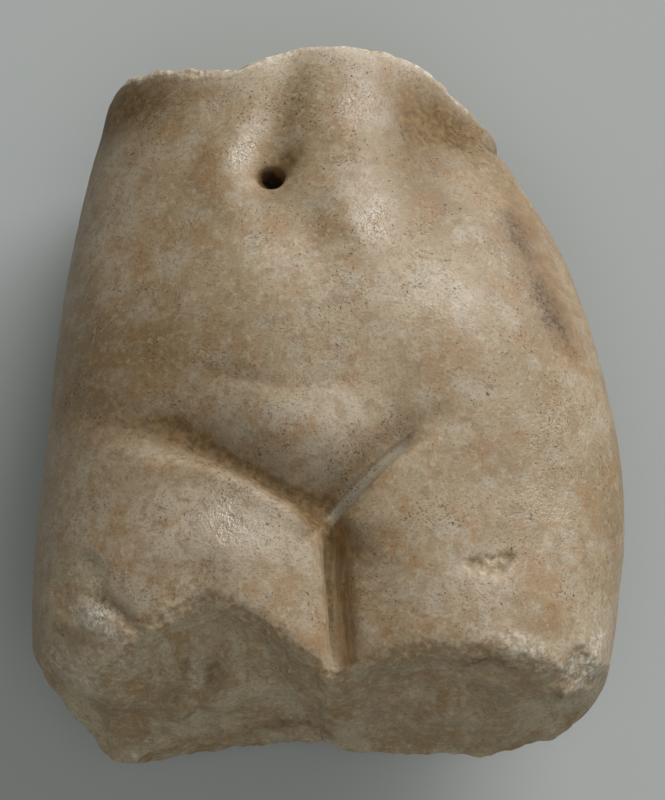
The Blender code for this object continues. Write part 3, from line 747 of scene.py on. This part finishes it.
def stain_marks(at, grid):
    """The dark stain on the left hip, and the brown round it."""
    on_front = (at.w > 0) * at.skin
    distance, _ = at.beside(STAIN_LINE)
    specks = sum(lobe(at.u, at.v, spot, 1.5 * UNIT, 2.0 * UNIT, 0.5) for spot in STAIN_SPECKS)
    stain = (0.26 * bell(distance, 2.2 * UNIT) + 0.9 * specks) * on_front
    halo = bell(distance - 1.3 * UNIT, 3.6 * UNIT) * on_front
    return stain * (1.0 + 0.7 * rough(grid, 2.4 * UNIT, 131, 2)), halo


def marks_at(at, grid):
    """What the material needs to know at each point of the finished grid."""
    below_waist_rim = grid[WAIST_RIM, :, 1] - at.v
    past_thigh_rim = np.where(at.skin > 0, at.v - grid[THIGH_RIM, :, 1], at.into_break)
    share = at.u / HALF_WIDTH
    crumbs = bell(past_thigh_rim, (2.9 + 1.2 * at.uneven) * UNIT) * at.facing * (at.ring < WAIST_RIM)
    crumbs = crumbs * (0.45 + 0.55 * bell(share + 0.42, 0.22) + 0.5 * bell(share - 0.65, 0.2))
    # Polish, which the material also uses to whiten the colour as a painted highlight
    polish_and_highlight = at.spots(POLISH_AND_HIGHLIGHT_SPOTS) * at.in_front
    polish_and_highlight = polish_and_highlight * (0.45 + 0.65 * smooth_step(-0.35, 0.35, rough(grid, 3.5 * UNIT, 171, 3)))
    # Paler tone, partly a painted highlight, and a pale band under the waist rim
    pale_and_highlight = (at.spots(PALE_AND_HIGHLIGHT_SPOTS) + 1.2 * bell(below_waist_rim, 4.5 * UNIT)) * at.in_front
    stain, halo = stain_marks(at, grid)
    crack, _ = beside_line(at.u, at.w, BREAK_CRACK)
    soil = at.break_spots(BREAK_DEPOSITS) + 0.8 * bell(crack, 0.5 * UNIT) * (at.ring < THIGH_RIM)
    cut = 1.0 - smooth_step(0.7 * UNIT, 1.15 * UNIT, np.abs(at.channel))
    cut = cut * smooth_step(0.02, 0.1, at.channel_progress)
    cut = cut * (1.0 - smooth_step(0.55, 0.7, at.channel_progress))
    # The navel bore is coloured near black, most towards its upper right
    bore_dark = np.hypot(at.u - NAVEL[0] - 0.8 * UNIT, at.v - NAVEL[1] - 0.8 * UNIT) / NAVEL_BORE_RADIUS
    bore_dark = 1.0 - smooth_step(0.6, 1.2, bore_dark * (1.0 + 0.16 * rough(grid, 2.6 * UNIT, 151, 2)))
    return {
        "broken": at.broken,
        "crumbs": np.clip(crumbs + 0.7 * at.chip, 0.0, 1.0),
        "patina_and_shade": np.clip(patina_and_shade_mark(at, grid), 0.0, 1.5),
        "stain": np.clip(stain, 0.0, 1.0),
        "groove": at.in_groove * smooth_step(1.2 * UNIT, 2.6 * UNIT, at.groove) * (1 - at.broken),
        "cut": cut * at.in_front,
        "halo": halo,
        "polish_and_highlight": np.clip(polish_and_highlight, 0.0, 1.0),
        "crystal_and_highlight": np.clip(crystal_and_highlight_mark(at, below_waist_rim), 0.0, 1.0),
        "soil": np.clip(soil, 0.0, 1.0),
        "pale_and_highlight": np.clip(pale_and_highlight, 0.0, 1.0),
        "hole": bore_dark * at.in_front,
    }


def fine_stone():
    """The grid of the finely carved stone, with the marks for its material."""
    low = rim(thigh_end, along(-0.45))
    high = rim(waist_end, along(0.45))
    v = low + (high - low) * np.linspace(0, 1, ROWS + 1)[:, None]
    u, w = skin(column_angles(v), v)
    carved = np.stack([u, v, w], axis=-1)
    whole = np.concatenate([cap(carved[0], thigh_end), carved, cap(carved[-1], waist_end)[::-1]])
    grid, in_chip = chipped(whole)
    grid = worn_edges(grid)
    at = Surface(grid, in_chip)
    grid = grid + outward(grid) * fine_relief(at, grid)[..., None]
    grid[0] = grid[0].mean(axis=0)
    grid[-1] = grid[-1].mean(axis=0)
    return grid, marks_at(at, grid)


def stone_mesh(grid, marks):
    """The grid as one closed mesh with its marks, made with fewer triangles where the form is plain."""
    points = np.vstack([grid[0, :1], grid[1:-1].reshape(-1, 3), grid[-1, :1]])
    rings = len(grid) - 2
    last = len(points) - 1
    k = np.arange(COLUMNS)
    after = (k + 1) % COLUMNS
    low = (1 + np.arange(rings - 1)[:, None] * COLUMNS).repeat(COLUMNS, axis=1)
    high = low + COLUMNS
    quads = np.stack([low + k, low + after, high + after, high + k], axis=-1).reshape(-1, 4)
    top = 1 + (rings - 1) * COLUMNS
    bottom_fan = np.stack([np.zeros(COLUMNS, int), 1 + after, 1 + k], axis=-1)
    top_fan = np.stack([np.full(COLUMNS, last), top + k, top + after], axis=-1)
    mesh = bpy.data.meshes.new("fine_form")
    mesh.from_pydata(points.tolist(), [], quads.tolist() + bottom_fan.tolist() + top_fan.tolist())
    for name, values in marks.items():
        flat = np.concatenate([values[0, :1], values[1:-1].ravel(), values[-1, :1]])
        mesh.attributes.new(name, "FLOAT", "POINT").data.foreach_set("value", flat.astype(np.float32))
    fine = bpy.data.objects.new("fine_form", mesh)
    bpy.context.scene.collection.objects.link(fine)
    modifier = fine.modifiers.new("fewer", "DECIMATE")
    modifier.ratio = min(1.0, TRIANGLES / (2 * len(mesh.polygons)))
    reduced = bpy.data.meshes.new_from_object(fine.evaluated_get(bpy.context.evaluated_depsgraph_get()))
    bpy.data.objects.remove(fine)
    return reduced


def laid_down(mesh):
    """Lays the stone where the CAD solid lies, resting spots flat. Gives the place of the body's middle."""
    mesh.transform(Matrix.Rotation(-REST_TILT, 4, "X"))
    points = np.empty(3 * len(mesh.vertices), np.float32)
    mesh.vertices.foreach_get("co", points)
    points = points.reshape(-1, 3).astype(float)
    lowest, highest = points.min(axis=0), points.max(axis=0)
    node_low, node_high = np.array(NODE_LOW), np.array(NODE_HIGH)
    shift = (node_low + node_high) / 2 - (lowest + highest) / 2
    shift[2] = node_high[2] - highest[2]
    points = points + shift
    points[:, 2] = np.maximum(points[:, 2], 0.0)
    points = np.clip(points, node_low, node_high)
    mesh.vertices.foreach_set("co", points.astype(np.float32).ravel())
    mesh.update()
    return Vector(shift)


class Nodes:
    """Short ways to build a material's nodes."""

    def __init__(self, name):
        self.material = bpy.data.materials.new(name)
        self.material.use_nodes = True
        self.tree = self.material.node_tree
        self.shader = self.tree.nodes["Principled BSDF"]
        self.coords = self.tree.nodes.new("ShaderNodeTexCoord").outputs["Object"]

    def feed(self, socket, value):
        """Links a value into a socket, or sets it there."""
        if isinstance(value, bpy.types.NodeSocket):
            self.tree.links.new(value, socket)
        elif isinstance(value, tuple) and len(value) == 3 and socket.type == "RGBA":
            socket.default_value = (*value, 1.0)
        else:
            socket.default_value = value

    def make(self, kind, **inputs):
        """A new node with some of its inputs fed."""
        node = self.tree.nodes.new("ShaderNode" + kind)
        for name, value in inputs.items():
            self.feed(node.inputs[name.replace("_", " ")], value)
        return node

    def mark(self, name):
        node = self.make("Attribute")
        node.attribute_name = name
        return node.outputs["Fac"]

    def drawn_out(self, lengths, turn):
        """Coordinates that draw a texture out along an axis turned about Z."""
        turned = (0.0, 0.0, math.radians(turn))
        node = self.make("Mapping", Vector=self.coords, Scale=lengths, Rotation=turned)
        node.vector_type = "TEXTURE"
        return node.outputs["Vector"]

    def noise(self, size, detail=4.0, roughness=0.55, vector=None):
        """Noise with features of a size in mm."""
        where = vector or self.coords
        node = self.make("TexNoise", Vector=where, Scale=1000.0 / size, Detail=detail, Roughness=roughness)
        return node.outputs["Fac"]

    def cells(self, size):
        """Distance to the middle of the nearest cell, with cells of a size in mm."""
        return self.make("TexVoronoi", Vector=self.coords, Scale=1000.0 / size).outputs["Distance"]

    def math(self, operation, a, b=0.0, c=0.0):
        node = self.make("Math")
        node.operation = operation
        self.feed(node.inputs[0], a)
        self.feed(node.inputs[1], b)
        self.feed(node.inputs[2], c)
        return node.outputs[0]

    def times(self, *values):
        """The product of several values."""
        product = values[0]
        for value in values[1:]:
            product = self.math("MULTIPLY", product, value)
        return product

    def span(self, value, low, high, to_low=0.0, to_high=1.0):
        """Maps low..high smoothly to to_low..to_high."""
        ends = {"From_Min": low, "From_Max": high, "To_Min": to_low, "To_Max": to_high}
        node = self.make("MapRange", Value=value, **ends)
        node.interpolation_type = "SMOOTHSTEP"
        return node.outputs["Result"]

    def layered(self, base, layers):
        """Lays colours over a base, each by a texture, where it starts and is full, and how strong."""
        for texture, start, full, strong, colour in layers:
            base = self.mix(self.span(texture, start, full, 0.0, strong), base, colour)
        return base

    def mix(self, share, a, b):
        """A colour between a and b."""
        node = self.make("Mix")
        node.data_type = "RGBA"
        factor, first, second = (node.inputs[k] for k in (0, 6, 7))
        self.feed(factor, share)
        self.feed(first, a)
        self.feed(second, b)
        return node.outputs[2]


# Colours of the marble, the darker first where there are two
TAN = (0.308, 0.22, 0.12), (0.428, 0.334, 0.218)
PALE_AND_HIGHLIGHT_TAN = (0.53, 0.452, 0.345)
PAINTED_HIGHLIGHT_TAN = (0.59, 0.515, 0.41)
SCRATCH_BROWN = (0.21, 0.14, 0.072)
PATINA_AND_SHADE_BROWN = (0.13, 0.08, 0.034), (0.242, 0.155, 0.072)
PATINA_AND_SHADE_TINT = (0.205, 0.146, 0.078)
OCHRE = (0.15, 0.09, 0.036), (0.3, 0.18, 0.078)
STAIN_BLACK = (0.084, 0.056, 0.028)
STAIN_HALO = (0.255, 0.158, 0.08)
CUT_STONE = (0.4, 0.35, 0.275)
SPECK_BROWN = (0.135, 0.084, 0.036)
PIT_BROWN = (0.115, 0.07, 0.031)
BROKEN_STONE = (0.355, 0.262, 0.148), (0.485, 0.398, 0.264)
BROKEN_SPECK = (0.12, 0.08, 0.04)
CRUMB = (0.29, 0.165, 0.066), (0.54, 0.43, 0.285)
SOIL = (0.11, 0.072, 0.032), (0.255, 0.158, 0.066)
CHALK_AND_HIGHLIGHT_WHITE = (0.5, 0.43, 0.325), (0.78, 0.735, 0.65)
NAVEL_BORE_DARK = (0.04, 0.023, 0.011), (0.17, 0.1, 0.044)
BROKEN_ROUGHNESS = 0.62
BUMP_HEIGHT = 0.000110


def marble():
    """Worn marble: tan with brown patina and pits where carved, duller and greyer where broken, with
    painted shade and painted highlights in places.
    """
    n = Nodes("marble")
    broken, patina_and_shade, stain = n.mark("broken"), n.mark("patina_and_shade"), n.mark("stain")
    groove, cut, hole, crystal_and_highlight = n.mark("groove"), n.mark("cut"), n.mark("hole"), n.mark("crystal_and_highlight")
    halo, polished_and_highlit, crumbs, pale_and_highlight = n.mark("halo"), n.mark("polish_and_highlight"), n.mark("crumbs"), n.mark("pale_and_highlight")
    cloud = n.noise(18.0, 4.0, 0.58)
    blotch = n.noise(7.0, 5.0, 0.62)
    tint = n.noise(4.6, 4.0, 0.6)
    patch = n.noise(2.6, 4.0, 0.62)
    fleck = n.noise(1.2, 3.0, 0.62)
    grain = n.noise(0.45, 2.0, 0.6)
    crust = n.noise(0.8, 2.0, 0.7)
    scratch_a = n.noise(0.42, 2.0, 0.6, n.drawn_out((9.0, 1.0, 1.0), 28.0))
    scratch_b = n.noise(0.42, 2.0, 0.6, n.drawn_out((7.0, 1.0, 1.0), -38.0))
    scratched = n.span(n.noise(9.0, 3.0, 0.6), 0.46, 0.6)

    # Small pits, in clusters and more in the patina and the painted shade
    crowd = n.span(n.noise(6.5, 5.0, 0.7), 0.42, 0.64, -0.06, 0.055)
    crowd = n.math("MULTIPLY_ADD", patina_and_shade, 0.035, crowd)
    pits = n.span(n.math("ADD", n.noise(0.5, 2.0, 0.55), crowd), 0.685, 0.735)
    specks = n.span(n.math("ADD", n.noise(0.32, 1.5, 0.5), crowd), 0.625, 0.715)

    # The carved skin
    tan = n.mix(n.span(cloud, 0.36, 0.64), *TAN)
    # Paler tone in places, partly a painted highlight on the crest of the right thigh
    tan = n.mix(n.times(pale_and_highlight, 0.7), tan, PALE_AND_HIGHLIGHT_TAN)
    tan = n.layered(tan, (
        (blotch, 0.47, 0.66, 0.66, (0.35, 0.208, 0.09)),
        (tint, 0.5, 0.66, 0.58, (0.44, 0.385, 0.3)),
        (patch, 0.49, 0.66, 0.52, (0.262, 0.17, 0.08)),
        (crust, 0.53, 0.68, 0.34, (0.205, 0.132, 0.064)),
        (fleck, 0.53, 0.7, 0.44, (0.54, 0.462, 0.348)),
        (grain, 0.52, 0.7, 0.5, (0.195, 0.126, 0.062)),
    ))
    # Painted highlight: the colour is whitened in the polished spots where the highlights fall
    tan = n.mix(n.times(polished_and_highlit, n.span(crust, 0.36, 0.58, 0.1, 0.6)), tan, PAINTED_HIGHLIGHT_TAN)
    lines = n.math("MAXIMUM", n.span(scratch_a, 0.6, 0.72), n.span(scratch_b, 0.61, 0.73))
    lines = n.times(scratched, lines)
    tan = n.mix(n.times(lines, 0.45), tan, SCRATCH_BROWN)
    brown = n.mix(n.span(fleck, 0.38, 0.64), *PATINA_AND_SHADE_BROWN)
    brown = n.mix(n.span(tint, 0.46, 0.66, 0.0, 0.6), brown, PATINA_AND_SHADE_TINT)
    # Brown patina, with painted shade over the right groin and on the side away from the window light
    patina_and_shade_share = n.times(patina_and_shade, n.span(patch, 0.34, 0.64, 1.06, 0.8))
    tan = n.mix(n.math("MINIMUM", n.times(patina_and_shade_share, 0.8), 0.94), tan, brown)
    strokes = n.noise(0.66, 3.0, 0.6, n.drawn_out((1.0, 8.0, 1.0), 0.0))
    ochre = n.mix(n.span(strokes, 0.34, 0.66), *OCHRE)
    tan = n.mix(n.times(groove, 0.8), tan, ochre)
    tan = n.mix(n.times(halo, n.span(patch, 0.36, 0.62, 0.55, 1.0)), tan, STAIN_HALO)
    tan = n.mix(n.times(stain, n.span(crust, 0.42, 0.62, 0.36, 1.0)), tan, STAIN_BLACK)
    tan = n.mix(n.times(cut, 0.75), tan, CUT_STONE)
    tan = n.mix(n.times(specks, 0.62), tan, SPECK_BROWN)
    tan = n.mix(n.times(pits, 0.74), tan, PIT_BROWN)

    # The breaks
    deep = n.drawn_out((1.0, 1.0, 2.5), 0.0)
    wide, spread, wisp = (n.noise(size, 4.0, 0.58, deep) for size in (12.0, 5.0, 2.4))
    dull = n.layered(n.mix(n.span(wide, 0.4, 0.6), *BROKEN_STONE), (
        (spread, 0.48, 0.62, 0.76, (0.33, 0.208, 0.088)),
        (wisp, 0.5, 0.66, 0.4, (0.545, 0.47, 0.335)),
        (patch, 0.52, 0.68, 0.26, (0.61, 0.54, 0.41)),
        (crust, 0.52, 0.7, 0.4, (0.19, 0.124, 0.062)),
        (fleck, 0.54, 0.68, 0.42, (0.59, 0.5, 0.36)),
        (grain, 0.54, 0.7, 0.5, (0.165, 0.105, 0.05)),
    ))
    dull = n.mix(n.times(specks, 0.5), dull, BROKEN_SPECK)
    colour = n.mix(broken, tan, dull)
    crumb = n.mix(n.span(fleck, 0.44, 0.58), *CRUMB)
    colour = n.mix(n.times(crumbs, n.span(patch, 0.4, 0.6, 0.2, 0.78)), colour, crumb)
    soiled = n.times(n.mark("soil"), n.span(patch, 0.36, 0.6, 0.45, 1.0))
    colour = n.mix(soiled, colour, n.mix(n.span(fleck, 0.4, 0.6), *SOIL))
    # Light crystals, and painted highlights on chipped facets that face the window light
    chalk_and_highlight_colour = n.mix(n.span(fleck, 0.4, 0.6), *CHALK_AND_HIGHLIGHT_WHITE)
    chalk_and_highlight_share = n.times(crystal_and_highlight, n.span(patch, 0.36, 0.54, 0.3, 1.0), n.span(crust, 0.4, 0.54, 0.25, 0.95))
    colour = n.mix(chalk_and_highlight_share, colour, chalk_and_highlight_colour)
    # Near black in the navel bore, most towards its upper right
    colour = n.mix(n.times(hole, 0.9), colour, n.mix(n.span(tint, 0.46, 0.6), *NAVEL_BORE_DARK))
    n.feed(n.shader.inputs["Base Color"], colour)

    # Gloss: worn smooth on the forms that stand out, dull in the patina, the painted shade and on the
    # breaks
    gloss = n.math("MULTIPLY_ADD", polished_and_highlit, -0.3, 0.5)
    gloss = n.math("ADD", gloss, n.span(fleck, 0.32, 0.68, -0.06, 0.1))
    gloss = n.math("ADD", gloss, n.times(patina_and_shade, 0.1))
    even = n.make("Mix")
    n.feed(even.inputs["Factor"], n.math("MAXIMUM", broken, hole))
    n.feed(even.inputs[2], gloss)
    even.inputs[3].default_value = BROKEN_ROUGHNESS
    n.feed(n.shader.inputs["Roughness"], even.outputs[0])
    n.shader.inputs["Subsurface Weight"].default_value = 0.28
    n.shader.inputs["Subsurface Radius"].default_value = (1.0, 0.62, 0.36)
    n.shader.inputs["Subsurface Scale"].default_value = 0.0018
    shine = n.math("MULTIPLY_ADD", polished_and_highlit, 0.42, 0.52)
    shine = n.math("MULTIPLY_ADD", patina_and_shade, -0.3, shine)
    shine = n.times(n.math("MAXIMUM", shine, 0.12), n.math("MULTIPLY_ADD", pits, -0.8, 1.0))
    n.feed(n.shader.inputs["Specular IOR Level"], shine)

    # Fine relief
    height = n.math("MULTIPLY_ADD", crust, 0.55, n.times(fleck, 0.5))
    sparkle = n.times(polished_and_highlit, n.math("MULTIPLY_ADD", grain, 2.8, n.times(crust, 2.3)))
    height = n.math("ADD", height, sparkle)
    height = n.math("ADD", height, n.times(lines, -0.35))
    height = n.math("ADD", height, n.times(pits, -0.7))
    height = n.math("ADD", height, n.times(n.cells(0.9), broken, 1.3))
    height = n.math("ADD", height, n.times(fleck, crumbs, 1.6))
    bump = n.make("Bump", Strength=1.0, Distance=BUMP_HEIGHT, Height=height)
    n.feed(n.shader.inputs["Normal"], bump.outputs["Normal"])
    return n.material


def plain(name, colour, roughness):
    """A plain material with a faint unevenness."""
    n = Nodes(name)
    shade = n.span(n.noise(330.0, 3.0, 0.5), 0.3, 0.7)
    darker = tuple(0.97 * c for c in colour)
    n.feed(n.shader.inputs["Base Color"], n.mix(shade, darker, colour))
    n.shader.inputs["Roughness"].default_value = roughness
    return n.material


def soft_light(name, place_at, aim, size, watts, colour):
    """A square soft light at a place, turned to its aim."""
    light = bpy.data.lights.new(name, "AREA")
    light.energy = watts
    light.size = size
    light.color = colour
    lamp = bpy.data.objects.new(name, light)
    turned = (aim - place_at).to_track_quat("-Z", "Y").to_matrix().to_4x4()
    lamp.matrix_world = Matrix.Translation(place_at) @ turned
    bpy.context.scene.collection.objects.link(lamp)


# The stone
stone = bpy.data.objects.new("stone", stone_mesh(*fine_stone()))
bpy.context.scene.collection.objects.link(stone)
BODY_MIDDLE = laid_down(stone.data)
stone.data.shade_smooth()
stone.data.materials.clear()
stone.data.materials.append(marble())
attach(stone, "root")
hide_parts("figure_fragment")

# Floor
FLOOR_HALF = 3.0
floor_mesh = bpy.data.meshes.new("floor")
floor_corners = [(x * FLOOR_HALF, y * FLOOR_HALF, 0.0) for x, y in ((-1, -1), (1, -1), (1, 1), (-1, 1))]
floor_mesh.from_pydata(floor_corners, [], [(0, 1, 2, 3)])
floor_mesh.materials.append(plain("pale_floor", (0.455, 0.482, 0.484), 0.85))
floor = bpy.data.objects.new("floor", floor_mesh)
bpy.context.scene.collection.objects.link(floor)

# Camera, at the photograph's angle: 20 degrees from the belly's facing, towards the thigh end
VIEW_TILT = math.radians(20.0)
CAMERA_DISTANCE = 0.55
PHOTO_HALF_HEIGHT_PX = 400
PHOTO_PX_PER_MM = 5.95
HALF_FRAME_HEIGHT = PHOTO_HALF_HEIGHT_PX / PHOTO_PX_PER_MM * 0.001
SENSOR_WIDTH = 36.0
elevation = math.pi / 2 - (VIEW_TILT - REST_TILT)
towards_camera = Vector((0.0, -math.cos(elevation), math.sin(elevation)))
camera_data = bpy.data.cameras.new("camera")
camera_data.sensor_width = SENSOR_WIDTH
camera_data.lens = SENSOR_WIDTH / 2 * CAMERA_DISTANCE / HALF_FRAME_HEIGHT
camera = bpy.data.objects.new("camera", camera_data)
camera.matrix_world = (
    Matrix.Translation(BODY_MIDDLE + towards_camera * CAMERA_DISTANCE)
    @ Matrix.Rotation(math.pi / 2 - elevation, 4, "X")
)
bpy.context.scene.collection.objects.link(camera)
bpy.context.scene.camera = camera

# Light: a broad window low at the upper right of the picture, a soft light above, and a little all round
AIM = Vector((0.0, 0.0, 0.03))
SKY_COLOUR = (0.98, 1.0, 0.95, 1.0)
SKY_STRENGTH = 0.14


def seen_at(azimuth, elevation, distance):
    """A place at a bearing and a height above the floor, both in degrees, as seen from the stone."""
    turn, rise = math.radians(azimuth), math.radians(elevation)
    way = Vector((math.cos(rise) * math.cos(turn), math.cos(rise) * math.sin(turn), math.sin(rise)))
    return AIM + distance * way


soft_light("window", seen_at(55.0, 27.0, 2.0), AIM, size=1.4, watts=43.0, colour=(1.0, 0.99, 0.975))
soft_light("ceiling", seen_at(275.0, 68.0, 2.0), AIM, size=1.6, watts=10.5, colour=(1.0, 0.995, 0.95))
world = bpy.data.worlds.new("studio")
world.use_nodes = True
sky = world.node_tree.nodes["Background"]
sky.inputs["Color"].default_value = SKY_COLOUR
sky.inputs["Strength"].default_value = SKY_STRENGTH
bpy.context.scene.world = world
bpy.context.scene.view_settings.view_transform = "Standard"
